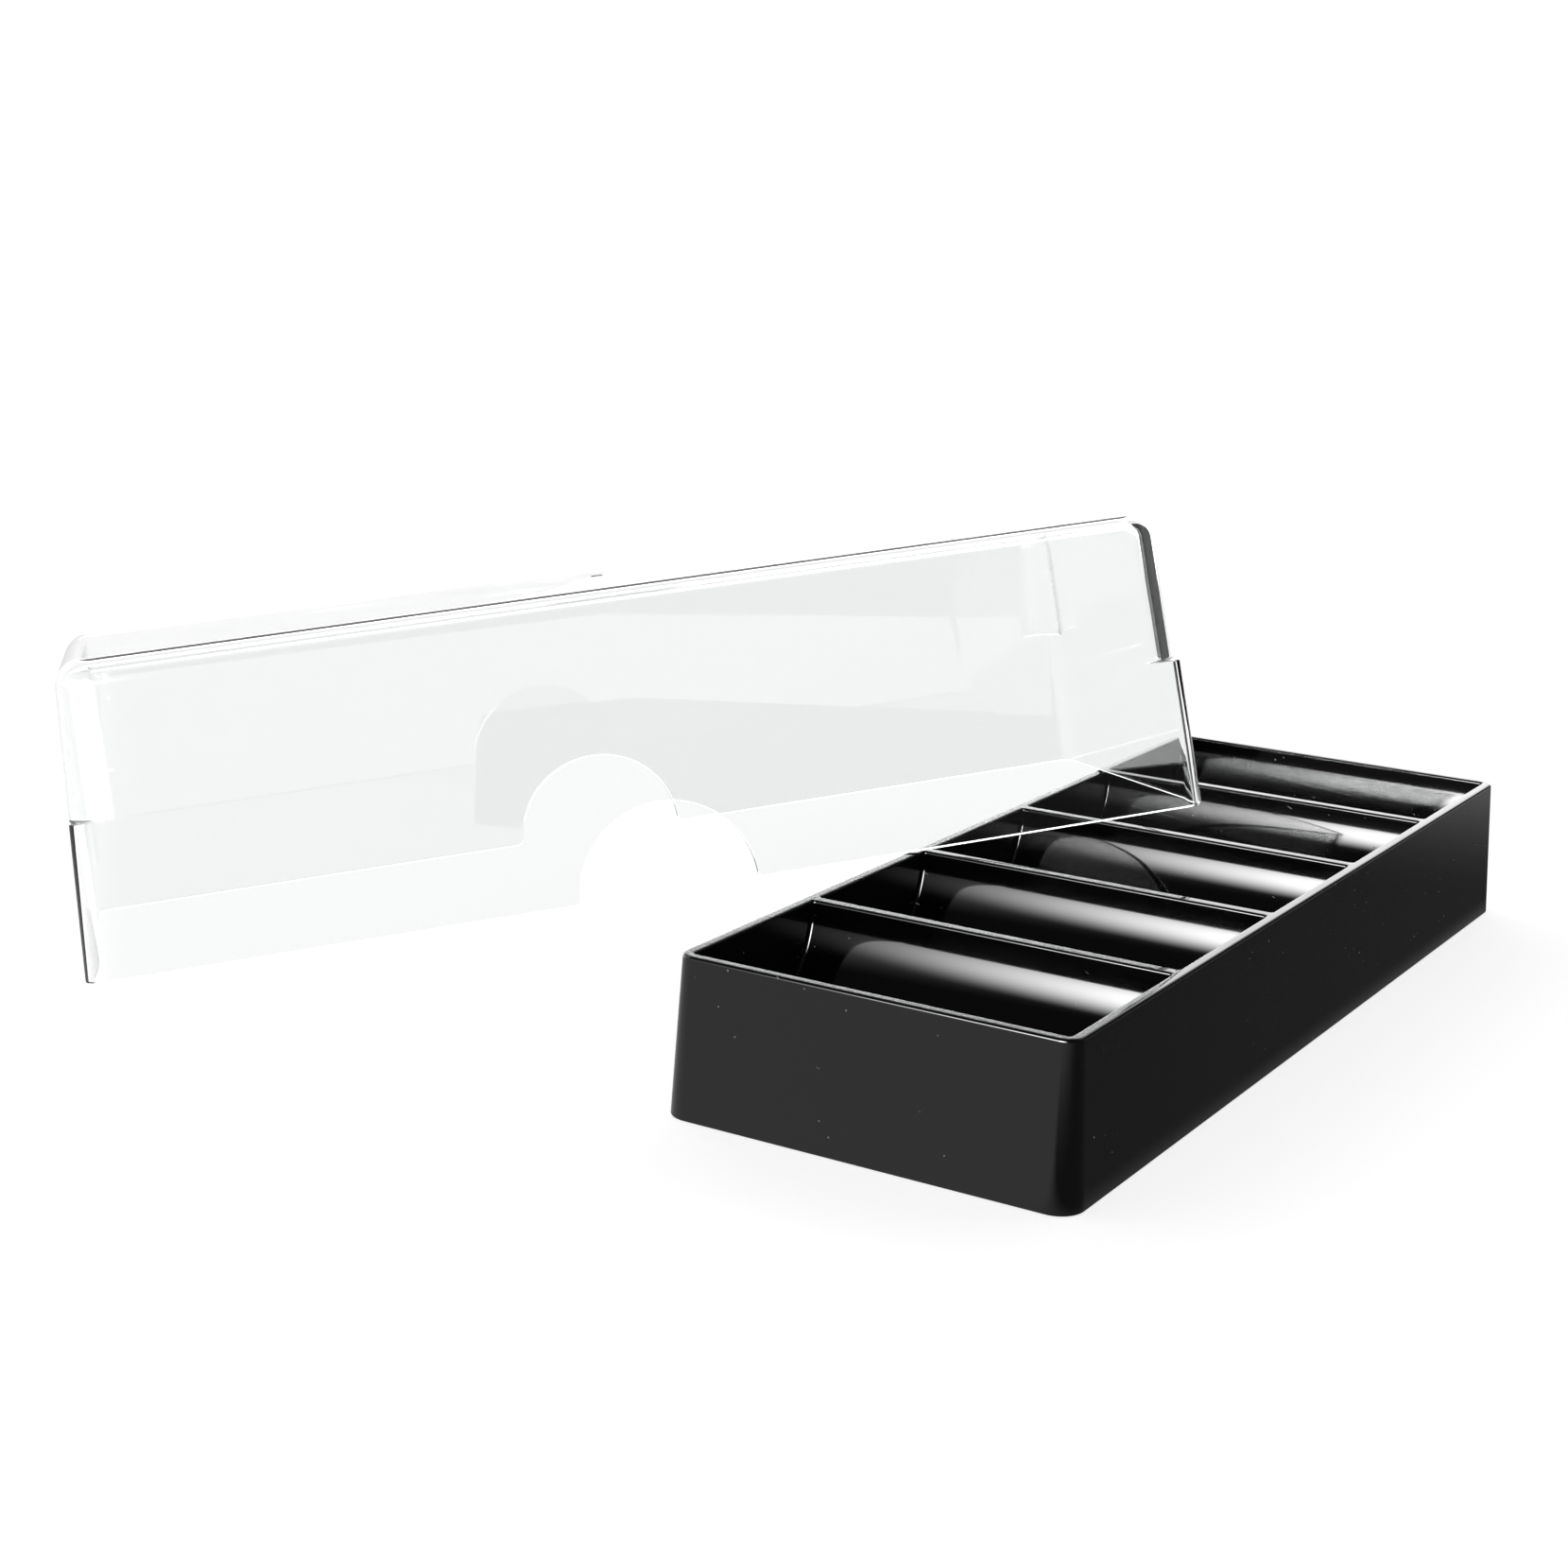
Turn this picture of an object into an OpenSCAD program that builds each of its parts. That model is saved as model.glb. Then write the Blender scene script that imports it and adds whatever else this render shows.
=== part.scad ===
// Chip rack: a gloss moulded tray with five round-bottomed chip channels, and the clear
// moulded cover that closes over it. Millimetres, +Z up. The tray stands on Z = 0 with
// its long side along X. The cover is off: it lies across the tray's back edge with one
// corner down on the table behind.

/* [Channels] */
// width of one chip channel: a 39 mm chip and its play
channel_w = 40.4; // [36:0.2:50]
// length of one channel: twenty chips and their play
channel_len = 72.6; // [56:0.2:100]
// number of channels side by side
rows = 5; // [4:1:7]
// thickness of the wall between two channels
divider_t = 2.6; // [2:0.1:5]
// chamfer round the mouth of each channel
mouth_chamfer = 0.5; // [0.2:0.1:0.8]

/* [Tray] */
// width of the flat land between the channels and the outside, at the rim
rim_w = 2.2; // [1.8:0.1:4]
// height of the tray from the table to the rim
tray_h = 29.8; // [27:0.2:38]
// wall thickness of the tray, open underneath
tray_wall = 2; // [1.4:0.1:2.4]
// outward lean of all side walls towards the foot, degrees
draft = 3; // [1.5:0.5:4]
// corner radius of the tray at the rim
corner_r = 3.3; // [2.6:0.1:6]
// rounding of the rim's outer edge
edge_r = 0.6; // [0.3:0.1:1]

/* [Cover] */
// wall thickness of the cover
cover_wall = 1.3; // [1:0.1:2]
// play between the tray's foot and the cover's open rim, each side
cover_play = 0.6; // [0.2:0.05:0.9]
// how much tighter the cover's corners are at its rim than an even play would make them
corner_relief = 2.5; // [0:0.1:3]
// gap between the tray's rim and the cover's corner ledges when closed
ledge_gap = 0.2; // [0.1:0.1:0.6]
// free height over the tray's rim when closed, room for the upper half of the chips
headroom = 28.6; // [22:0.2:40]
// rounding of the cover's top edges
top_r = 5.1; // [3:0.1:6]
// corner radius of the cover at its top, above the ledges
top_corner_r = 5.4; // [5.2:0.1:8]
// extra inside radius of those corners, which makes the ledge
ledge_extra = 1.6; // [1.2:0.1:3]
// radius of the half-round finger notch in both long sides
notch_r = 17.6; // [10:0.2:22]
// radius of the gate mark on the top
gate_r = 1.6; // [1:0.1:3]

/* [Placement] */
// where the cover is: laid across the back edge of the tray, or closed over the tray
cover_state = "leaning"; // [leaning, closed]
// turn of the cover away from square to the tray, degrees
lean_turn = 45.2; // [30:0.2:60]
// place of the cover's middle along the tray's back edge, from the tray's middle
lean_along = -31.2; // [-45:0.2:-15]
// distance of the cover's middle behind the tray's back edge
lean_back = 63; // [50:0.2:75]

/* [Hidden] */
pitch = channel_w + divider_t;
row_w = rows * channel_w + (rows - 1) * divider_t;
tray_l = row_w + 2 * rim_w;
tray_w = channel_len + 2 * rim_w;
slope = tan(draft);
foot_r = corner_r + tray_h * slope;
foot_l = tray_l + 2 * tray_h * slope;
foot_w = tray_w + 2 * tray_h * slope;
cover_gap = cover_play + cover_wall;
cover_l = foot_l + 2 * cover_gap;
cover_w = foot_w + 2 * cover_gap;
ledge_h = tray_h + ledge_gap;
cover_h = ledge_h + headroom + cover_wall;
rim_r = foot_r + cover_gap - corner_relief;
upper_r = top_corner_r + cover_h * slope;
upper_in_r = upper_r - cover_wall + ledge_extra;
lean_reach = lean_back + (cover_l / 2 - rim_r) * cos(lean_turn)
    + (cover_w / 2 - rim_r) * sin(lean_turn) + rim_r;
lean_tilt = asin(tray_h / lean_reach);
post_fn = 32;
over = 1;

// tray "#141416", cover "#eef2f4"

// side of a corner post: drafted from radius r at z0 to the rounded top edge at z1
function post_side(r, z0, z1, round_r) = [
    [0, z0],
    [r - z0 * slope, z0],
    for (a = [0:15:90])
        [r - (z1 - round_r) * slope - round_r * (1 - cos(a)), z1 - round_r * (1 - sin(a))],
    [0, z1]
];

// block with drafted walls: l by w at Z = 0, corner radius r at Z = 0, from z0 to z1
module drafted_block(l, w, r, z0, z1, round_r) {
    hull()
        for (x = [-1, 1], y = [-1, 1])
            translate([x * (l / 2 - r), y * (w / 2 - r), 0])
                rotate_extrude($fn = post_fn)
                    polygon(post_side(r, z0, z1, round_r));
}

// one channel: a half cylinder down from the rim, its mouth chamfered all round
module channel() {
    half = channel_w / 2;
    low = mouth_chamfer + 0.5;
    translate([0, channel_len / 2, tray_h])
        rotate([90, 0, 0])
            cylinder(r = half, h = channel_len, $fn = 128);
    intersection() {
        translate([0, channel_len / 2 + 2 * over, tray_h])
            rotate([90, 0, 0])
                linear_extrude(channel_len + 4 * over)
                    polygon([
                        [-half - mouth_chamfer - over, over],
                        [half + mouth_chamfer + over, over],
                        [half - 0.5, -low],
                        [-half + 0.5, -low]
                    ]);
        translate([-half - 2 * over, 0, tray_h])
            rotate([90, 0, 90])
                linear_extrude(channel_w + 4 * over)
                    polygon([
                        [-channel_len / 2 - mouth_chamfer - over, over],
                        [channel_len / 2 + mouth_chamfer + over, over],
                        [channel_len / 2 - 0.5, -low],
                        [-channel_len / 2 + 0.5, -low]
                    ]);
    }
}

module at_channels() {
    for (i = [0:rows - 1])
        translate([(i - (rows - 1) / 2) * pitch, 0, 0])
            children();
}

// hollow underside: everything inside the outer walls and below the channel shells
module underside() {
    difference() {
        drafted_block(
            foot_l - 2 * tray_wall, foot_w - 2 * tray_wall, foot_r - tray_wall,
            -over, tray_h - tray_wall, 0.4
        );
        at_channels()
            translate([0, tray_w, tray_h])
                rotate([90, 0, 0])
                    cylinder(r = channel_w / 2 + tray_wall, h = 2 * tray_w, $fn = 128);
    }
}

module tray() {
    color("#141416")
        difference() {
            drafted_block(foot_l, foot_w, foot_r, 0, tray_h, edge_r);
            underside();
            at_channels()
                channel();
        }
}

// cover in its own place: open rim at Z = 0, closed top up
module cover_shell() {
    difference() {
        union() {
            drafted_block(cover_l, cover_w, rim_r, 0, ledge_h, 0);
            drafted_block(cover_l, cover_w, upper_r, ledge_h - 0.4, cover_h, top_r);
        }
        drafted_block(
            cover_l - 2 * cover_wall, cover_w - 2 * cover_wall, rim_r - cover_wall,
            -over, ledge_h, 0
        );
        drafted_block(
            cover_l - 2 * cover_wall, cover_w - 2 * cover_wall, upper_in_r,
            ledge_h - 0.4, cover_h - cover_wall, top_r - cover_wall
        );
        translate([0, cover_w, 0])
            rotate([90, 0, 0])
                cylinder(r = notch_r, h = 2 * cover_w, $fn = 96);
        translate([0, 0, cover_h - 0.25])
            cylinder(r = gate_r, h = 1, $fn = 48);
    }
}

// laid down: the rim's plane turns about the tray's back edge until one corner is on the table
module cover() {
    color("#eef2f4", 0.25)
        if (cover_state == "leaning")
            translate([0, tray_w / 2, tray_h])
                rotate([-lean_tilt, 0, 0])
                    translate([lean_along, lean_back, 0])
                        rotate([0, 0, lean_turn - 90])
                            cover_shell();
        else
            cover_shell();
}

tray();
cover();
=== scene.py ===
"""Chip rack: a gloss black moulded tray with five chip channels and its clear moulded cover.

Run as a script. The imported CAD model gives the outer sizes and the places; the property
groups below give the sizes of the details and the colours.
"""

import math

import bmesh
import bpy
from bpy.props import FloatProperty, FloatVectorProperty, IntProperty, PointerProperty
from mathutils import Matrix, Vector


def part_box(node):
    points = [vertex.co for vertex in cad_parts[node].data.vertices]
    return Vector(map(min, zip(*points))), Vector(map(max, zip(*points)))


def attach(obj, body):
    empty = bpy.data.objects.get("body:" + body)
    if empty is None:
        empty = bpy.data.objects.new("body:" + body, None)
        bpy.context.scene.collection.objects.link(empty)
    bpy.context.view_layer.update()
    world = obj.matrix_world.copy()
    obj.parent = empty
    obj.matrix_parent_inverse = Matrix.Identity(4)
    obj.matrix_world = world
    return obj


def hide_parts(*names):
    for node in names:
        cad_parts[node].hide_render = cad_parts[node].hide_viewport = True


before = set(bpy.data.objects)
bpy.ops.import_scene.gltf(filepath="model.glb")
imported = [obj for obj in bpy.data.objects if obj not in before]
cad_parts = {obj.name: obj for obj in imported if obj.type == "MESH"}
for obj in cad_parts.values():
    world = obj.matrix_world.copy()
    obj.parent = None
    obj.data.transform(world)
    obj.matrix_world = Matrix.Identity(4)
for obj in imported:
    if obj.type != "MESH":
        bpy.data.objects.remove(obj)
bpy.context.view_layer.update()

bl_info = {
    "name": "Chip Rack",
    "version": (1, 0, 0),
    "blender": (4, 5, 0),
    "location": "View3D > Sidebar > Chip Rack",
    "description": "Builds a chip rack: a gloss moulded tray and its clear moulded cover",
    "category": "Add Mesh",
}

MM = 0.001
TRAY_LOW, TRAY_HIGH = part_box("tray")
CORNER_STEPS = 12  # straight pieces in a quarter turn of a corner
ROUND_STEPS = 4  # straight pieces in the quarter turn of a small rounded edge
CHANNEL_STEPS = 72  # straight pieces across one half-round channel
SHELL_STEPS = 48  # straight pieces across the underside of one channel's shell
CEILING_PASSES = 6  # times a leaning wall's top is moved to meet the ceiling above it
SHOULDER_STEPS = 12  # straight pieces in the rounding along the cover's top
NOTCH_STEPS = 64  # straight pieces in a finger notch
NOTCH_FOOT_STEPS = 6  # straight pieces where a notch runs out into the rim
GATE_STEPS = 40  # straight pieces round the gate mark
SHARP_DEGREES = 40  # edges that turn more than this are shaded sharp
QUARTERS = [(1, 1), (-1, 1), (-1, -1), (1, -1)]  # corners in plan, anticlockwise
TABLE_REACH = 3  # half the width of the table sheets, metres
FLOOR_LEVEL = -0.02 * MM  # just under the object
# height of the glowing sheet of painted reflections
MIRRORED_LEVEL = 0.05 * MM  # just over the floor, so that reflections meet it first
CAMERA_PLACE = (-0.48407, -0.20972, 0.17374)
SENSOR_WIDTH = 36  # millimetres
WHITE = (1, 1, 1, 1)


# --------------------------------------------------------------------------------------
# Sizes and colours that a user would change
# --------------------------------------------------------------------------------------


def length(name, description, millimetres):
    return FloatProperty(
        name=name, description=description, default=millimetres * MM, unit="LENGTH", precision=5
    )


def angle(name, description, degrees):
    return FloatProperty(
        name=name, description=description, default=math.radians(degrees), subtype="ANGLE"
    )


def linear(hex_colour):
    """An sRGB hex colour as linear red, green, blue and full alpha."""
    parts = [int(hex_colour[i : i + 2], 16) / 255 for i in (1, 3, 5)]
    return [c / 12.92 if c <= 0.04045 else ((c + 0.055) / 1.055) ** 2.4 for c in parts] + [1.0]


def colour(name, description, hex_colour):
    return FloatVectorProperty(
        name=name, description=description, default=linear(hex_colour), subtype="COLOR", size=4,
        min=0, max=1,
    )


class ChipRackTraySizes(bpy.types.PropertyGroup):
    """Sizes of the tray's details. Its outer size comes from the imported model."""

    channels: IntProperty(name="Channels", description="Chip channels side by side", default=5)
    channel_width: length("Channel width", "Width of one channel: a 39 mm chip and its play", 40.4)
    divider: length("Divider", "Thickness of the wall between two channels", 2.6)
    rim: length("Rim", "Flat land between the channels and the outside", 2.2)
    wall: length("Wall", "Wall thickness, open underneath", 2.0)
    corner: length("Corner", "Corner radius at the rim", 3.3)
    mouth_round: length("Mouth rounding", "Rounded edge round each channel's mouth", 0.5)
    end_fillet: length("End fillet", "Inside rounding where a channel meets its end wall", 0.6)
    rim_round: length("Rim rounding", "Rounding of the rim's outer edge", 0.6)
    foot_round: length("Foot rounding", "Rounding of the foot's outer edge", 0.35)
    draft: angle("Draft", "Outward lean of all side walls towards the foot", 3.0)


class ChipRackCoverSizes(bpy.types.PropertyGroup):
    """Sizes of the cover, which follow the tray's foot and its own clearances."""

    wall: length("Wall", "Wall thickness of the cover", 1.3)
    play: length("Play", "Play between the tray's foot and the cover, each side", 0.6)
    corner_relief: length(
        "Corner relief", "How much tighter its corners are at the rim than an even play", 2.5
    )
    ledge_gap: length("Ledge gap", "Gap between the tray's rim and the ledges when closed", 0.2)
    headroom: length("Headroom", "Free height over the tray's rim when closed", 28.6)
    top_round: length("Top rounding", "Rounding along the top edges", 5.1)
    top_corner: length("Top corner", "Corner radius at the top, above the ledges", 5.4)
    ledge_extra: length("Ledge", "Extra inside radius of the upper corners", 1.6)
    edge_round: length("Edge rounding", "Rounding of the open rim and the notches", 0.3)
    ledge_round: length("Ledge rounding", "Rounding of the corner ledges", 0.25)
    notch: length("Notch", "Radius of the half-round finger notches", 17.6)
    notch_foot: length("Notch foot", "Rounding where a notch meets the rim", 1.4)
    gate: length("Gate mark", "Radius of the gate mark on the top", 1.6)
    gate_depth: length("Gate depth", "Depth of the gate mark", 0.25)


class ChipRackPlacement(bpy.types.PropertyGroup):
    """How the cover lies across the tray's back edge. The same values place the CAD cover."""

    turn: angle("Turn", "Turn of the cover away from square to the tray", 45.2)
    along: length("Along", "Cover's middle along the back edge, from the tray's middle", -31.2)
    back: length("Back", "Cover's middle behind the back edge", 63.0)


class ChipRackFinish(bpy.types.PropertyGroup):
    """Colours of the two mouldings and their surface marks."""

    tray_colour: colour("Tray", "Gloss black of the tray", "#0b0b0c")
    dust_colour: colour("Dust", "Dust specks on the tray", "#6c6d6f")
    cover_colour: colour("Cover", "Tint of the clear cover", "#fafbfb")


class ChipRackStage(bpy.types.PropertyGroup):
    """Floor, light and camera."""

    floor_colour: colour("Floor", "Colour of the plain floor", "#f4f4f4")
    table_glow: FloatProperty(
        name="Table glow", description="Light from below; 1 is paper white", default=0.72
    )
    # painted reflection: the grey glow of the sheet that only gloss surfaces see
    painted_reflection_grey: colour("Mirrored table", "The table as the gloss surfaces show it", "#d7d7d7")
    # the black velvet of the standing flags, and also the painted dark reflection in the glowing
    # sheet that only gloss surfaces see
    flag_and_painted_dark_colour: colour("Mirrored flag", "The black flags as they show them", "#494949")
    camera_heading: angle("Heading", "Compass direction the camera looks in, from +X", 31.177)
    camera_pitch: angle("Pitch", "How far the camera looks down", 14.099)
    camera_roll: angle("Roll", "Sideways lean of the camera", 1.802)
    lens: FloatProperty(name="Lens", description="Focal length on a 36 mm sensor", default=62.391)


# --------------------------------------------------------------------------------------
# Mesh helpers
# --------------------------------------------------------------------------------------


def spread(low, high, steps):
    """steps + 1 evenly spaced numbers from low to high."""
    return [low + (high - low) * i / steps for i in range(steps + 1)]


def ring_of(bm, points):
    return [bm.verts.new(p) for p in points]


def bridge(bm, one, two, closed=True):
    """Quads between two rows of as many vertices."""
    last = len(one) if closed else len(one) - 1
    for i in range(last):
        j = (i + 1) % len(one)
        corners = [one[i], one[j], two[j], two[i]]
        distinct = [v for n, v in enumerate(corners) if v not in corners[:n]]
        if len(distinct) > 2:
            bm.faces.new(distinct)


def fill_flat(bm, outer, holes, up):
    """Fills a flat region inside a ring of vertices, round the rings in holes."""
    rings = [outer, *holes]
    edges = [bm.edges.get((r[i - 1], r[i])) or bm.edges.new((r[i - 1], r[i]))
             for r in rings for i in range(len(r))]
    made = bmesh.ops.triangle_fill(bm, edges=edges, use_beauty=True, normal=(0, 0, up))
    if not any(isinstance(g, bmesh.types.BMFace) for g in made["geom"]):
        raise RuntimeError("a flat region could not be filled")


def finish_mesh(bm, name, matrix=None):
    """Closes off a mesh as an object: outward normals, smooth shading, flats kept flat."""
    bmesh.ops.recalc_face_normals(bm, faces=bm.faces)
    open_edges = [e for e in bm.edges if not e.is_manifold]
    if open_edges:
        raise RuntimeError(f"{name} is not closed: {len(open_edges)} open edges")
    mesh = bpy.data.meshes.new(name)
    bm.to_mesh(mesh)
    bm.free()
    if matrix is not None:
        mesh.transform(matrix)
    mesh.shade_smooth()
    mesh.set_sharp_from_angle(angle=math.radians(SHARP_DEGREES))
    piece = bpy.data.objects.new(name, mesh)
    bpy.context.scene.collection.objects.link(piece)
    weighted = piece.modifiers.new("flats stay flat", "WEIGHTED_NORMAL")
    weighted.keep_sharp = True
    weighted.weight = 100
    return piece


def rounded_shoulder(radius_at, top, radius, draft, steps):
    """(radius, height) points that round a drafted side into a flat top, from the side up."""
    centre_z = top - radius
    touch_z = centre_z + radius * math.sin(draft)
    centre_r = radius_at(touch_z) - radius * math.cos(draft)
    return [
        (centre_r + radius * math.cos(a), centre_z + radius * math.sin(a))
        for a in spread(draft, math.pi / 2, steps)
    ]


# --------------------------------------------------------------------------------------
# Tray
# --------------------------------------------------------------------------------------


class Tray:
    """The tray's sizes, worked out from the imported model's box and the detail sizes."""

    def __init__(self, sizes):
        self.sizes = sizes
        self.height = TRAY_HIGH.z
        self.slope = math.tan(sizes.draft)
        self.half_length = TRAY_HIGH.x - self.height * self.slope
        self.half_width = TRAY_HIGH.y - self.height * self.slope
        self.post = (self.half_length - sizes.corner, self.half_width - sizes.corner)
        self.channel_radius = sizes.channel_width / 2
        self.channel_half = self.half_width - sizes.rim
        pitch = sizes.channel_width + sizes.divider
        middle = (sizes.channels - 1) / 2
        self.channel_centres = [(i - middle) * pitch for i in range(sizes.channels)]
        self.shell_radius = self.channel_radius + sizes.wall

    def radius_at(self, z):
        """Radius of the outer corners at a height."""
        return self.sizes.corner + (self.height - z) * self.slope

    def ceiling(self, x):
        """Height of the hollow's ceiling, the underside of the channel shells."""
        near = min(abs(x - c) for c in self.channel_centres)
        if near >= self.shell_radius:
            return self.height - self.sizes.wall
        depth = math.sqrt(self.shell_radius**2 - near**2)
        return self.height - max(depth, self.sizes.wall)


def corner_ring(post, radius, z):
    """Rounded rectangle in plan: four quarter circles round the corner posts."""
    points = []
    for quarter, (sx, sy) in enumerate(QUARTERS):
        for a in spread(quarter * math.pi / 2, (quarter + 1) * math.pi / 2, CORNER_STEPS):
            points.append(
                (sx * post[0] + radius * math.cos(a), sy * post[1] + radius * math.sin(a), z)
            )
    return points


def tray_outside(bm, tray):
    """Foot edge, drafted sides and rounded rim. Returns the foot ring and the land ring."""
    sizes = tray.sizes
    foot = sizes.foot_round
    levels = [
        (tray.radius_at(foot) - foot * (1 - math.cos(a)), foot * (1 - math.sin(a)))
        for a in spread(math.pi / 2, 0, ROUND_STEPS)
    ]
    levels += rounded_shoulder(
        tray.radius_at, tray.height, sizes.rim_round, sizes.draft, ROUND_STEPS + 2
    )
    rings = [ring_of(bm, corner_ring(tray.post, r, z)) for r, z in levels]
    for one, two in zip(rings, rings[1:]):
        bridge(bm, one, two)
    return rings[0], rings[-1]


def tray_channel(bm, tray, centre):
    """One half-round channel with filleted ends and a rounded mouth. Returns its mouth ring."""
    sizes = tray.sizes
    edge, fillet, radius, half = (
        sizes.mouth_round, sizes.end_fillet, tray.channel_radius, tray.channel_half
    )
    turns = spread(0, math.pi / 2, ROUND_STEPS)
    ends = [
        (radius - fillet + fillet * math.cos(a), half - fillet + fillet * math.sin(a), a)
        for a in turns
    ]
    rows = [(r, -y, -a) for r, y, a in reversed(ends)] + ends
    grid = []
    for r, y, _ in rows:
        start = math.asin(edge / r)
        grid.append(ring_of(bm, [
            (centre + r * math.cos(t), y, tray.height - r * math.sin(t))
            for t in spread(start, math.pi - start, CHANNEL_STEPS)
        ]))
    for one, two in zip(grid, grid[1:]):
        bridge(bm, one, two, closed=False)
    for end in (grid[0], grid[-1]):
        bm.faces.new(end)
    wall = [row[0] for row in grid] + [row[-1] for row in reversed(grid)]
    normals = [(math.cos(a), math.sin(a)) for _, _, a in rows]
    normals += [(-x, y) for x, y in reversed(normals)]
    ring = wall
    for a in turns[1:]:
        above = ring_of(bm, [
            (
                v.co.x + n[0] * edge * (1 - math.cos(a)),
                v.co.y + n[1] * edge * (1 - math.cos(a)),
                tray.height - edge + edge * math.sin(a),
            )
            for v, n in zip(wall, normals)
        ])
        bridge(bm, ring, above)
        ring = above
    return ring


def tray_hollow(bm, tray):
    """The open underside: drafted inner walls up to the channel shells. Returns its foot ring."""
    wall = tray.sizes.wall
    post_x, post_y = tray.post
    columns = [
        ((post_x, post_y), (math.cos(a), math.sin(a)))
        for a in spread(0, math.pi / 2, CORNER_STEPS)
    ]
    across = [
        c + tray.shell_radius * math.cos(t)
        for c in tray.channel_centres
        for t in spread(0, math.pi, SHELL_STEPS)
    ]
    half_pitch = (tray.sizes.channel_width + tray.sizes.divider) / 2
    kept = []
    for x in across:
        from_channel = min(abs(x - c) for c in tray.channel_centres)
        if abs(x) < post_x - MM and from_channel < half_pitch - MM / 5:
            kept.append(x)
    seams = [c + half_pitch for c in tray.channel_centres[:-1]]
    columns += [((x, post_y), (0, 1)) for x in sorted(kept + seams, reverse=True)]
    columns += [
        ((-post_x, post_y), (math.cos(a), math.sin(a)))
        for a in spread(math.pi / 2, math.pi, CORNER_STEPS)
    ]

    def at(column, z):
        (bx, by), (nx, ny) = column
        radius = tray.radius_at(z) - wall
        return Vector((bx + nx * radius, by + ny * radius, z))

    def top(column):
        z = tray.height / 2
        for _ in range(CEILING_PASSES):
            z = tray.ceiling(at(column, z).x)
        return at(column, z)

    mirror = Vector((1, -1, 1))
    low = [at(c, 0) for c in columns]
    high = [top(c) for c in columns]
    low_back, high_back = ring_of(bm, low), ring_of(bm, high)
    low_front = ring_of(bm, [p * mirror for p in low])
    high_front = ring_of(bm, [p * mirror for p in high])
    bridge(bm, low_back, high_back, closed=False)
    bridge(bm, low_front, high_front, closed=False)
    bridge(bm, high_back, high_front, closed=False)
    for end in (0, -1):
        bm.faces.new([low_back[end], high_back[end], high_front[end], low_front[end]])
    return low_back + low_front[::-1]


def build_tray(sizes):
    tray = Tray(sizes)
    bm = bmesh.new()
    foot, land = tray_outside(bm, tray)
    mouths = [tray_channel(bm, tray, c) for c in tray.channel_centres]
    fill_flat(bm, land, mouths, 1)
    fill_flat(bm, foot, [tray_hollow(bm, tray)], -1)
    return finish_mesh(bm, "gloss_tray")


# --------------------------------------------------------------------------------------
# Cover
# --------------------------------------------------------------------------------------


class Cover:
    """The cover's sizes in its own place: open rim at z = 0, closed top up."""

    def __init__(self, sizes, tray):
        self.sizes = sizes
        self.slope = tray.slope
        self.draft = tray.sizes.draft
        gap = sizes.play + sizes.wall
        self.half = (TRAY_HIGH.x + gap, TRAY_HIGH.y + gap)
        self.rim_radius = tray.radius_at(0) + gap - sizes.corner_relief
        self.ledge = tray.height + sizes.ledge_gap
        self.height = self.ledge + sizes.headroom + sizes.wall
        self.upper_radius = sizes.top_corner + self.height * self.slope
        self.upper_inner_radius = self.upper_radius - sizes.wall + sizes.ledge_extra

    def placed(self, tray, place):
        """Laid down: the rim's plane turns about the tray's back edge until a corner is down."""
        reach = (
            place.back
            + (self.half[0] - self.rim_radius) * math.cos(place.turn)
            + (self.half[1] - self.rim_radius) * math.sin(place.turn)
            + self.rim_radius
        )
        tilt = math.asin(tray.height / reach)
        return (
            Matrix.Translation((0, tray.half_width, tray.height))
            @ Matrix.Rotation(-tilt, 4, "X")
            @ Matrix.Translation((place.along, place.back, 0))
            @ Matrix.Rotation(place.turn - math.pi / 2, 4, "Z")
        )


class CoverSkin:
    """One skin of the cover, outer or inner: half sizes and the lower and upper corner radii."""

    def __init__(self, cover, inset, lower_radius, upper_radius, top, top_round):
        self.cover = cover
        self.half = (cover.half[0] - inset, cover.half[1] - inset)
        self.lower_radius = lower_radius
        self.upper_radius = upper_radius
        self.lower_post = (self.half[0] - lower_radius, self.half[1] - lower_radius)
        self.upper_post = (self.half[0] - upper_radius, self.half[1] - upper_radius)
        self.top = top
        self.top_round = top_round


def notch_edge(cover):
    """(x, z, out x, out z) along the rim edge of a long side across a notch, x falling."""
    sizes = cover.sizes
    radius, foot = sizes.notch, sizes.notch_foot
    centre_x = math.sqrt((radius + foot) ** 2 - foot**2)
    meet = math.atan2(foot, centre_x)
    points = [
        (centre_x + foot * math.cos(a), foot + foot * math.sin(a), math.cos(a), math.sin(a))
        for a in spread(-math.pi / 2, -math.pi + meet, NOTCH_FOOT_STEPS)
    ]
    arc = [
        (radius * math.cos(a), radius * math.sin(a), -math.cos(a), -math.sin(a))
        for a in spread(meet, math.pi - meet, NOTCH_STEPS)
    ]
    mirrored = [(-x, z, -mx, mz) for x, z, mx, mz in reversed(points)]
    return points[:-1] + arc + mirrored[1:]


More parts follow.
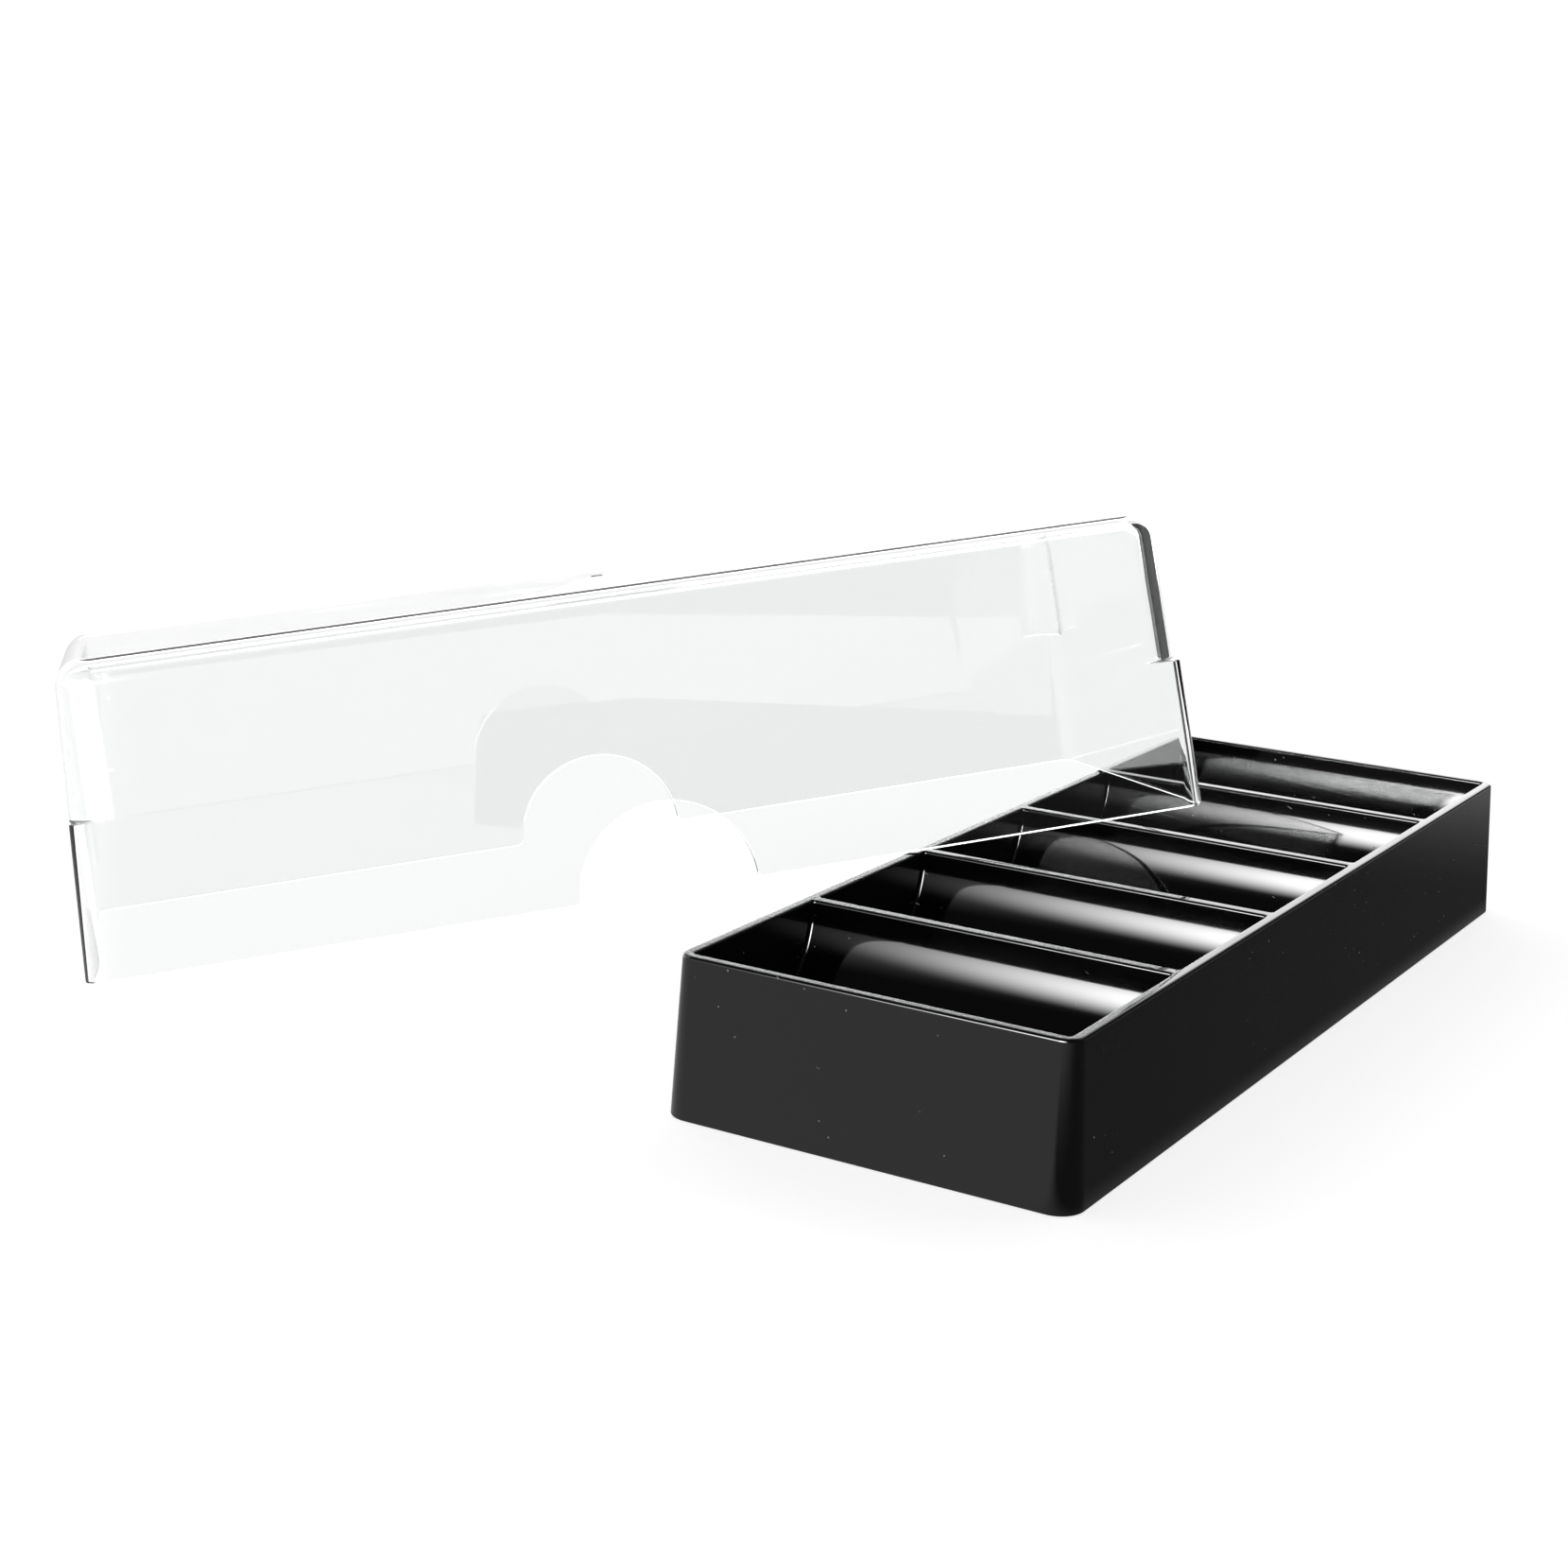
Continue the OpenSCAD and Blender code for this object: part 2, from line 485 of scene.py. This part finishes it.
def lower_columns(skin, notch):
    """Columns of the lower wall, anticlockwise from the right end: base, plan normal, edge.
    Each corner has its arc and a column either side where the upper corner will start."""
    columns = []
    lower, upper = skin.lower_post, skin.upper_post
    flat_edge = (0.0, 0.0, -1.0)
    for quarter, (sx, sy) in enumerate(QUARTERS):
        start = quarter * math.pi / 2
        arc = [
            ((sx * lower[0], sy * lower[1]), (math.cos(a), math.sin(a)), flat_edge)
            for a in spread(start, start + math.pi / 2, CORNER_STEPS)
        ]
        short_side = ((sx * lower[0], sy * upper[1]), (sx, 0), flat_edge)
        long_side = ((sx * upper[0], sy * lower[1]), (0, sy), flat_edge)
        first, last = (short_side, long_side) if quarter % 2 == 0 else (long_side, short_side)
        columns.append(("mark", first))
        columns += [("arc", c) for c in arc]
        columns.append(("mark", last))
        if quarter == 0:
            columns += [("edge", ((x, lower[1]), (0, 1), (z, mx, mz))) for x, z, mx, mz in notch]
        if quarter == 2:
            columns += [
                ("edge", ((-x, -lower[1]), (0, -1), (z, -mx, mz))) for x, z, mx, mz in notch
            ]
    return columns


def cover_skin(bm, skin):
    """Wall, ledges and shoulder of one skin.
    Returns the ring where its rim rounding starts, its columns and its top ring."""
    cover = skin.cover
    sizes = cover.sizes
    slope, ledge, step = cover.slope, cover.ledge, sizes.ledge_round
    columns = lower_columns(skin, notch_edge(cover))

    def lower_point(base, normal, z):
        radius = skin.lower_radius - z * slope
        return Vector((base[0] + normal[0] * radius, base[1] + normal[1] * radius, z))

    def upper_point(base, normal, radius, z):
        return Vector((base[0] + normal[0] * radius, base[1] + normal[1] * radius, z))

    start, below = [], []
    for _, (base, normal, (z, mx, mz)) in columns:
        back = sizes.edge_round
        foot_z = z - back * mz
        moved = (base[0] - back * mx, base[1])
        start.append(bm.verts.new(lower_point(moved, normal, foot_z)))
        below.append(bm.verts.new(lower_point(moved, normal, ledge - step)))
    bridge(bm, start, below)

    above = []
    for kind, (base, normal, (_, mx, _)) in columns:
        if kind == "arc":
            at = tuple(math.copysign(u, b) for u, b in zip(skin.upper_post, base))
        elif normal[0] == 0:
            at = (base[0] - sizes.edge_round * mx, math.copysign(skin.upper_post[1], base[1]))
        else:
            at = (math.copysign(skin.upper_post[0], base[0]), base[1])
        above.append((kind, at, normal))

    def upper_ring(radius, z):
        """A ring of the upper wall; the marks are the first and last points of the arcs."""
        made = [
            bm.verts.new(upper_point(at, normal, radius, z)) if kind != "mark" else None
            for kind, at, normal in above
        ]
        for i, (kind, _, _) in enumerate(above):
            if kind == "mark":
                made[i] = made[i + 1] if above[(i + 1) % len(above)][0] == "arc" else made[i - 1]
        return made

    first = upper_ring(skin.upper_radius - (ledge + step) * slope, ledge + step)
    arcs = []
    i = 0
    while i < len(columns):
        if columns[i][0] == "arc":
            arcs.append((i, i + CORNER_STEPS))
            i += CORNER_STEPS
        i += 1
    in_arc = {j for a, b in arcs for j in range(a, b)}
    marks = {a - 1 for a, b in arcs} | {b for a, b in arcs}
    count = len(columns)
    for j in range(count):
        if j not in in_arc and j not in marks:
            n = (j + 1) % count
            bm.faces.new([below[j], below[n], first[n], first[j]])
    for a, b in arcs:
        chains = [[below[k] for k in range(a, b + 1)]]
        for share, lift in ledge_profile():
            chain = []
            for k in range(a, b + 1):
                p, q = below[k].co, first[k].co
                chain.append(bm.verts.new((
                    p.x + (q.x - p.x) * share, p.y + (q.y - p.y) * share, ledge + lift * step
                )))
            chains.append(chain)
        chains.append([first[k] for k in range(a, b + 1)])
        for one, two in zip(chains, chains[1:]):
            bridge(bm, one, two, closed=False)
        for end, mark in ((0, a - 1), (-1, b + 1)):
            web = [below[mark]] + [c[end] for c in chains]
            bm.faces.new(web if end == 0 else web[::-1])
    ring = first
    shoulder = rounded_shoulder(
        lambda z: skin.upper_radius - z * slope,
        skin.top, skin.top_round, cover.draft, SHOULDER_STEPS,
    )
    for radius, z in shoulder:
        above_ring = upper_ring(radius, z)
        bridge(bm, ring, above_ring)
        ring = above_ring
    top = [v for i, v in enumerate(ring) if v is not ring[i - 1]]
    return start, columns, top


def ledge_profile():
    """(share of the way across a ledge, height in ledge roundings) from below to above."""
    turns = spread(0, math.pi / 2, ROUND_STEPS)
    convex = [(0.25 * (1 - math.cos(a)), -1 + math.sin(a)) for a in turns[1:]]
    concave = [(0.75 + 0.25 * math.sin(a), 1 - math.cos(a)) for a in turns[:-1]]
    return convex + concave


def rim_edge(bm, cover, outer, inner, columns):
    """Rounded edge round the open rim and the notches, from the outer skin to the inner."""
    sizes = cover.sizes
    back = sizes.edge_round
    turns = spread(0, math.pi / 2, ROUND_STEPS)
    profile = [(-back + back * math.cos(a), -back + back * math.sin(a)) for a in turns]
    profile += [(-sizes.wall - t, m) for t, m in reversed(profile)]
    rings = [outer]
    for t, m in profile[1:-1]:
        made = []
        for v, (_, (_, normal, (_, mx, mz))) in zip(outer, columns):
            along = m + back
            sideways = Vector((normal[0], normal[1], 0))
            upward = Vector((0, 0, 1)) - sideways * cover.slope
            edge_out = Vector((mx, 0, 0)) + upward * mz
            made.append(bm.verts.new(v.co + sideways * t + edge_out * along))
        rings.append(made)
    rings.append(inner)
    for one, two in zip(rings, rings[1:]):
        bridge(bm, one, two)


def gate_mark(bm, cover):
    """The shallow round recess where the plastic entered the mould. Returns its mouth ring."""
    sizes = cover.sizes
    profile = [
        (sizes.gate, 0),
        (sizes.gate * 0.94, -sizes.gate_depth * 0.3),
        (sizes.gate * 0.9, -sizes.gate_depth),
        (sizes.gate * 0.45, -sizes.gate_depth),
        (sizes.gate * 0.3, -sizes.gate_depth * 0.35),
    ]
    rings = [
        ring_of(bm, [
            (r * math.cos(a), r * math.sin(a), cover.height + z)
            for a in spread(0, 2 * math.pi, GATE_STEPS)[:-1]
        ])
        for r, z in profile
    ]
    for one, two in zip(rings, rings[1:]):
        bridge(bm, one, two)
    bm.faces.new(rings[-1])
    return rings[0]


def build_cover(sizes, tray_sizes, place):
    tray = Tray(tray_sizes)
    cover = Cover(sizes, tray)
    wall = sizes.wall
    outer_skin = CoverSkin(
        cover, 0, cover.rim_radius, cover.upper_radius, cover.height, sizes.top_round
    )
    inner_skin = CoverSkin(
        cover, wall, cover.rim_radius - wall, cover.upper_inner_radius,
        cover.height - wall, sizes.top_round - wall,
    )
    bm = bmesh.new()
    outer_start, columns, outer_top = cover_skin(bm, outer_skin)
    inner_start, _, inner_top = cover_skin(bm, inner_skin)
    rim_edge(bm, cover, outer_start, inner_start, columns)
    fill_flat(bm, outer_top, [gate_mark(bm, cover)], 1)
    fill_flat(bm, inner_top, [], -1)
    return finish_mesh(bm, "clear_cover", cover.placed(tray, place))


# --------------------------------------------------------------------------------------
# Materials
# --------------------------------------------------------------------------------------


def add_node(tree, kind, links=(), inputs=(), **settings):
    """Adds a node, sets its properties and input values, and links other sockets into it."""
    node = tree.nodes.new(kind)
    for key, value in settings.items():
        setattr(node, key, value)
    for key, value in dict(inputs).items():
        node.inputs[key].default_value = value
    for key, socket in dict(links).items():
        tree.links.new(socket, node.inputs[key])
    return node


def new_material(name):
    """An empty node material with its output."""
    material = bpy.data.materials.new(name)
    material.use_nodes = True
    material.node_tree.nodes.clear()
    return material, material.node_tree


def surface_marks(tree, place, cell, share, reach, turn=0.0):
    """Sparse marks: 1 on a dust speck or, with long cells, on a hairline scratch, else 0.
    cell is the spacing along each axis in millimetres, reach the half size in cells."""
    turned = add_node(
        tree, "ShaderNodeMapping", {"Vector": place},
        {"Scale": [c * MM for c in cell], "Rotation": (turn, turn, turn)}, vector_type="TEXTURE",
    )
    cells = add_node(
        tree, "ShaderNodeTexVoronoi", {"Vector": turned.outputs["Vector"]}, {"Scale": 1.0}
    )
    chance = add_node(tree, "ShaderNodeSeparateColor", {"Color": cells.outputs["Color"]})
    kept = add_node(
        tree, "ShaderNodeMath", {0: chance.outputs["Red"]}, {1: share}, operation="LESS_THAN"
    )
    near = add_node(
        tree, "ShaderNodeMapRange", {"Value": cells.outputs["Distance"]},
        {"From Min": reach, "From Max": reach * 0.5},
    )
    return add_node(
        tree, "ShaderNodeMath", {0: kept.outputs[0], 1: near.outputs["Result"]},
        operation="MULTIPLY",
    ).outputs[0]


def either(tree, one, two):
    """The stronger of two masks."""
    return add_node(tree, "ShaderNodeMath", {0: one, 1: two}, operation="MAXIMUM").outputs[0]


def moulding_waves(tree, place, spacing, height):
    """The slow unevenness of a cooled moulding, as a normal: spacing and height in mm."""
    waves = add_node(
        tree, "ShaderNodeTexNoise", {"Vector": place},
        {"Scale": 1 / (spacing * MM), "Detail": 1.0},
    )
    return add_node(
        tree, "ShaderNodeBump", {"Height": waves.outputs["Fac"]},
        {"Strength": 1.0, "Distance": height * MM},
    ).outputs["Normal"]


def gloss_black_abs(finish):
    """ABS moulded in a polished mould: deep black and mirror-like, its reflections a little
    wavy where the walls cooled, with pale dust specks and short hairline scratches."""
    material, tree = new_material("gloss_black_abs")
    place = add_node(tree, "ShaderNodeTexCoord").outputs["Object"]
    # fingers leave duller patches about 17 mm apart, and dust settles in patches of 45 mm
    handling = add_node(
        tree, "ShaderNodeTexNoise", {"Vector": place}, {"Scale": 60.0, "Detail": 3.0}
    )
    roughness = add_node(
        tree, "ShaderNodeMapRange", {"Value": handling.outputs["Fac"]},
        {"To Min": 0.03, "To Max": 0.09},
    )
    specks = surface_marks(tree, place, (3.1, 3.1, 3.1), 0.28, 0.08)
    hairs = either(
        tree,
        surface_marks(tree, place, (15, 2.4, 2.4), 0.3, 0.07, 0.6),
        surface_marks(tree, place, (2.2, 14, 2.2), 0.3, 0.07, 1.1),
    )
    patches = add_node(
        tree, "ShaderNodeTexNoise", {"Vector": place}, {"Scale": 22.0, "Detail": 2.0}
    )
    dusty = add_node(
        tree, "ShaderNodeMapRange", {"Value": patches.outputs["Fac"]},
        {"From Min": 0.42, "From Max": 0.6},
    )
    marks = add_node(
        tree, "ShaderNodeMath",
        {0: either(tree, specks, hairs), 1: dusty.outputs["Result"]}, operation="MULTIPLY",
    ).outputs[0]
    tint = add_node(
        tree, "ShaderNodeMix", {"Factor": marks},
        {"A": finish.tray_colour, "B": finish.dust_colour}, data_type="RGBA",
    )
    worn = add_node(
        tree, "ShaderNodeMath", {0: marks, 1: roughness.outputs["Result"]}, operation="MAXIMUM"
    )
    shader = add_node(
        tree, "ShaderNodeBsdfPrincipled",
        {
            "Base Color": tint.outputs["Result"],
            "Roughness": worn.outputs[0],
            "Normal": moulding_waves(tree, place, 24, 0.008),
        },
        {"IOR": 1.5},
    )
    add_node(tree, "ShaderNodeOutputMaterial", {"Surface": shader.outputs["BSDF"]})
    return material


def clear_polystyrene(finish):
    """Clear crystal polystyrene moulded in a polished mould: glass-like, its walls a little
    wavy, with hairline scratches from handling that catch the light."""
    material, tree = new_material("clear_polystyrene")
    place = add_node(tree, "ShaderNodeTexCoord").outputs["Object"]
    hairs = either(
        tree,
        surface_marks(tree, place, (22, 2.6, 2.6), 0.25, 0.05, 0.8),
        surface_marks(tree, place, (2.6, 2.6, 18), 0.25, 0.05, 0.3),
    )
    roughness = add_node(
        tree, "ShaderNodeMapRange", {"Value": hairs}, {"To Min": 0.0, "To Max": 0.12}
    )
    shader = add_node(
        tree, "ShaderNodeBsdfPrincipled",
        {
            "Roughness": roughness.outputs["Result"],
            "Normal": moulding_waves(tree, place, 30, 0.008),
        },
        {"Base Color": finish.cover_colour, "IOR": 1.57, "Transmission Weight": 1.0},
    )
    add_node(tree, "ShaderNodeOutputMaterial", {"Surface": shader.outputs["BSDF"]})
    return material


def backlit_acrylic(stage):
    """A white acrylic light table: lit from below, so shadows on it are faint."""
    material, tree = new_material("backlit_acrylic")
    shader = add_node(
        tree, "ShaderNodeBsdfPrincipled", (),
        {
            "Base Color": stage.floor_colour, "Roughness": 1.0, "Specular IOR Level": 0.0,
            "Emission Color": WHITE, "Emission Strength": stage.table_glow,
        },
    )
    add_node(tree, "ShaderNodeOutputMaterial", {"Surface": shader.outputs["BSDF"]})
    return material


def black_velvet(stage):
    """Black velvet on the studio flags: takes in almost all light."""
    material, tree = new_material("black_velvet")
    shader = add_node(
        tree, "ShaderNodeBsdfDiffuse", (), {"Color": stage.flag_and_painted_dark_colour, "Roughness": 0.3}
    )
    add_node(tree, "ShaderNodeOutputMaterial", {"Surface": shader.outputs["BSDF"]})
    return material


def painted_reflection_table(stage):
    """The light table as the gloss surfaces mirror it, as a glowing sheet of painted reflections:
    white to the right and behind, painted grey from the tray's middle leftwards, and painted dark
    far to the left and along the tray's front."""
    material, tree = new_material("painted_reflection_table")
    place = add_node(tree, "ShaderNodeTexCoord").outputs["Object"]
    across = add_node(tree, "ShaderNodeSeparateXYZ", {"Vector": place})
    tint = None
    # painted reflections: one painted grey patch and three painted dark patches in the sheet's
    # glow
    for shaded, bounds in (
        (stage.painted_reflection_grey, (("X", 0.3, -0.05),)),
        (stage.flag_and_painted_dark_colour, (("X", -0.3, -0.6),)),
        (stage.flag_and_painted_dark_colour, (("Y", -0.03, -0.3), ("X", 0.42, 0.12))),
        (stage.flag_and_painted_dark_colour, (("Y", -0.03, -0.045), ("X", 0.42, 0.12), ("X", -0.25, -0.12))),
    ):
        parts = [
            add_node(
                tree, "ShaderNodeMapRange", {"Value": across.outputs[axis]},
                {"From Min": low, "From Max": high}, interpolation_type="SMOOTHSTEP",
            ).outputs["Result"]
            for axis, low, high in bounds
        ]
        shade = parts[0]
        for part in parts[1:]:
            shade = add_node(
                tree, "ShaderNodeMath", {0: shade, 1: part}, operation="MULTIPLY"
            ).outputs[0]
        mix = add_node(
            tree, "ShaderNodeMix", {"Factor": shade},
            {"A": WHITE, "B": shaded}, data_type="RGBA",
        )
        if tint is not None:
            tree.links.new(tint, mix.inputs["A"])
        tint = mix.outputs["Result"]
    shader = add_node(tree, "ShaderNodeEmission", {"Color": tint}, {"Strength": 1.0})
    add_node(tree, "ShaderNodeOutputMaterial", {"Surface": shader.outputs["Emission"]})
    return material


# --------------------------------------------------------------------------------------
# Operators
# --------------------------------------------------------------------------------------


class CHIPRACK_OT_tray(bpy.types.Operator):
    """Builds the gloss tray with its channels and hollow underside"""

    bl_idname = "chip_rack.tray"
    bl_label = "Tray"

    def execute(self, context):
        settings = context.scene.chip_rack
        piece = build_tray(settings.tray)
        piece.data.materials.append(gloss_black_abs(settings.finish))
        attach(piece, "tray")
        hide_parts("tray")
        return {"FINISHED"}


class CHIPRACK_OT_cover(bpy.types.Operator):
    """Builds the clear cover, laid across the tray's back edge"""

    bl_idname = "chip_rack.cover"
    bl_label = "Cover"

    def execute(self, context):
        settings = context.scene.chip_rack
        piece = build_cover(settings.cover, settings.tray, settings.placement)
        piece.data.materials.append(clear_polystyrene(settings.finish))
        piece.visible_shadow = piece.visible_diffuse = False
        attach(piece, "cover")
        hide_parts("cover")
        return {"FINISHED"}


def softbox(name, place, aim, size, radiance):
    """A rectangular softbox that lights nothing but gloss; paper white has radiance 1."""
    data = bpy.data.lights.new(name, "AREA")
    data.shape = "RECTANGLE"
    data.size, data.size_y = size
    data.energy = radiance * math.pi * size[0] * size[1]
    lamp = bpy.data.objects.new(name, data)
    bpy.context.scene.collection.objects.link(lamp)
    lamp.location = place
    lamp.rotation_euler = (Vector(aim) - Vector(place)).to_track_quat("-Z", "Y").to_euler()
    lamp.visible_camera = lamp.visible_diffuse = lamp.visible_transmission = False
    return lamp


def feather(data):
    """Makes a softbox brightest in its middle and dark at its edges, as a real one is."""
    data.use_nodes = True
    tree = data.node_tree
    place = add_node(tree, "ShaderNodeNewGeometry").outputs["Parametric"]
    across = add_node(tree, "ShaderNodeSeparateXYZ", {"Vector": place})
    strength = None
    for axis in ("X", "Y"):
        far = add_node(
            tree, "ShaderNodeMath", {1: across.outputs[axis]}, {0: 1.0}, operation="SUBTRACT"
        )
        hump = add_node(
            tree, "ShaderNodeMath", {0: across.outputs[axis], 1: far.outputs[0]},
            operation="MULTIPLY",
        )
        full = add_node(
            tree, "ShaderNodeMath", {0: hump.outputs[0]}, {1: 4.0}, operation="MULTIPLY"
        )
        part = add_node(
            tree, "ShaderNodeMath", {0: full.outputs[0]}, {1: 2.0}, operation="POWER"
        ).outputs[0]
        if strength is not None:
            part = add_node(
                tree, "ShaderNodeMath", {0: strength, 1: part}, operation="MULTIPLY"
            ).outputs[0]
        strength = part
    tree.links.new(strength, tree.nodes["Emission"].inputs["Strength"])


def studio_room():
    """Pale walls under a ceiling that is dark behind the camera."""
    world = bpy.data.worlds.new("studio_room")
    world.use_nodes = True
    tree = world.node_tree
    view = add_node(tree, "ShaderNodeTexCoord").outputs["Generated"]
    height = add_node(
        tree, "ShaderNodeVectorMath", {0: view}, {1: (-0.30, -0.18, 1.0)},
        operation="DOT_PRODUCT",
    )
    walls = add_node(
        tree, "ShaderNodeMapRange", {"Value": height.outputs["Value"]},
        {"From Min": 0.45, "From Max": 0.75, "To Min": 1.03, "To Max": 0.06},
        interpolation_type="SMOOTHSTEP",
    )
    tree.links.new(walls.outputs["Result"], tree.nodes["Background"].inputs["Strength"])
    tree.nodes["Background"].inputs["Color"].default_value = WHITE
    return world


def upright_flag(name, heading, distance, width, height, material):
    """A black flag that stands on the table facing the object, out of the camera's own sight:
    it shows in reflections and through the clear cover."""
    mesh = bpy.data.meshes.new(name)
    half = width / 2
    mesh.from_pydata(
        [(-half, 0, 0), (half, 0, 0), (half, 0, height), (-half, 0, height)], [], [(0, 1, 2, 3)]
    )
    mesh.materials.append(material)
    flag = bpy.data.objects.new(name, mesh)
    flag.matrix_world = (
        Matrix.Rotation(heading - math.pi / 2, 4, "Z") @ Matrix.Translation((0, distance, 0))
    )
    flag.visible_camera = flag.visible_diffuse = flag.visible_shadow = False
    bpy.context.scene.collection.objects.link(flag)


def sheet_on_table(name, z, material):
    """A flat square sheet that covers the table at a height."""
    bm = bmesh.new()
    bmesh.ops.create_grid(bm, x_segments=4, y_segments=4, size=TABLE_REACH)
    mesh = bpy.data.meshes.new(name)
    for v in bm.verts:
        v.co.z = z
    bm.to_mesh(mesh)
    bm.free()
    mesh.materials.append(material)
    sheet = bpy.data.objects.new(name, mesh)
    bpy.context.scene.collection.objects.link(sheet)
    return sheet


class CHIPRACK_OT_stage(bpy.types.Operator):
    """Sets out the floor, the studio light and the camera"""

    bl_idname = "chip_rack.stage"
    bl_label = "Stage"

    def execute(self, context):
        stage = context.scene.chip_rack.stage
        scene = context.scene
        sheet_on_table("floor", FLOOR_LEVEL, backlit_acrylic(stage))
        # a glowing sheet that only gloss surfaces see, painted grey and dark: painted reflections,
        # no real table
        mirrored = sheet_on_table("painted_reflection_sheet", MIRRORED_LEVEL, painted_reflection_table(stage))
        mirrored.visible_camera = mirrored.visible_diffuse = False
        mirrored.visible_shadow = mirrored.visible_transmission = False
        velvet = black_velvet(stage)
        upright_flag(
            "flag_behind", heading=math.radians(240), distance=1.3, width=3.2, height=1.3,
            material=velvet,
        )
        upright_flag(
            "flag_right", heading=math.radians(-42), distance=1.1, width=1.3, height=1.0,
            material=velvet,
        )
        scene.world = studio_room()
        side = softbox(
            "side_softbox", place=(-0.64, 0.02, 0.2), aim=(0, 0.02, 0.2), size=(0.72, 0.5),
            radiance=50,
        )
        feather(side.data)
        back = softbox(
            "back_softbox", place=(2.0, 0.9, 0.3), aim=(0, 0, 0.3), size=(4.0, 1.6), radiance=2.0
        )
        side.visible_transmission = back.visible_transmission = True

        camera_data = bpy.data.cameras.new("camera")
        camera_data.lens = stage.lens
        camera_data.sensor_width = SENSOR_WIDTH
        camera_data.clip_start = 0.01
        camera_data.clip_end = 50
        camera = bpy.data.objects.new("camera", camera_data)
        camera.matrix_world = (
            Matrix.Translation(CAMERA_PLACE)
            @ Matrix.Rotation(stage.camera_heading - math.pi / 2, 4, "Z")
            @ Matrix.Rotation(math.pi / 2 - stage.camera_pitch, 4, "X")
            @ Matrix.Rotation(stage.camera_roll, 4, "Z")
        )
        scene.collection.objects.link(camera)
        scene.camera = camera
        scene.view_settings.view_transform = "Standard"
        return {"FINISHED"}


class CHIPRACK_PT_panel(bpy.types.Panel):
    """Lists the steps that build the chip rack"""

    bl_idname = "CHIPRACK_PT_panel"
    bl_label = "Chip Rack"
    bl_space_type = "VIEW_3D"
    bl_region_type = "UI"
    bl_category = "Chip Rack"

    def draw(self, context):
        settings = context.scene.chip_rack
        for group in ("tray", "cover", "placement", "finish", "stage"):
            box = self.layout.box()
            box.label(text=group.capitalize())
            values = getattr(settings, group)
            for key in values.__annotations__:
                box.prop(values, key)
        for operator in (CHIPRACK_OT_tray, CHIPRACK_OT_cover, CHIPRACK_OT_stage):
            self.layout.operator(operator.bl_idname)


class ChipRackSettings(bpy.types.PropertyGroup):
    """All settings of the chip rack."""

    tray: PointerProperty(type=ChipRackTraySizes, name="Tray", description="Tray sizes")
    cover: PointerProperty(type=ChipRackCoverSizes, name="Cover", description="Cover sizes")
    placement: PointerProperty(
        type=ChipRackPlacement, name="Placement", description="How the cover lies"
    )
    finish: PointerProperty(type=ChipRackFinish, name="Finish", description="Colours")
    stage: PointerProperty(type=ChipRackStage, name="Stage", description="Floor and camera")


CLASSES = (
    ChipRackTraySizes, ChipRackCoverSizes, ChipRackPlacement, ChipRackFinish, ChipRackStage,
    ChipRackSettings, CHIPRACK_OT_tray, CHIPRACK_OT_cover, CHIPRACK_OT_stage, CHIPRACK_PT_panel,
)


def register():
    for cls in CLASSES:
        bpy.utils.register_class(cls)
    bpy.types.Scene.chip_rack = PointerProperty(type=ChipRackSettings)


def unregister():
    del bpy.types.Scene.chip_rack
    for cls in reversed(CLASSES):
        bpy.utils.unregister_class(cls)


def main():
    register()
    bpy.ops.chip_rack.tray()
    bpy.ops.chip_rack.cover()
    bpy.ops.chip_rack.stage()


if __name__ == "__main__":
    main()
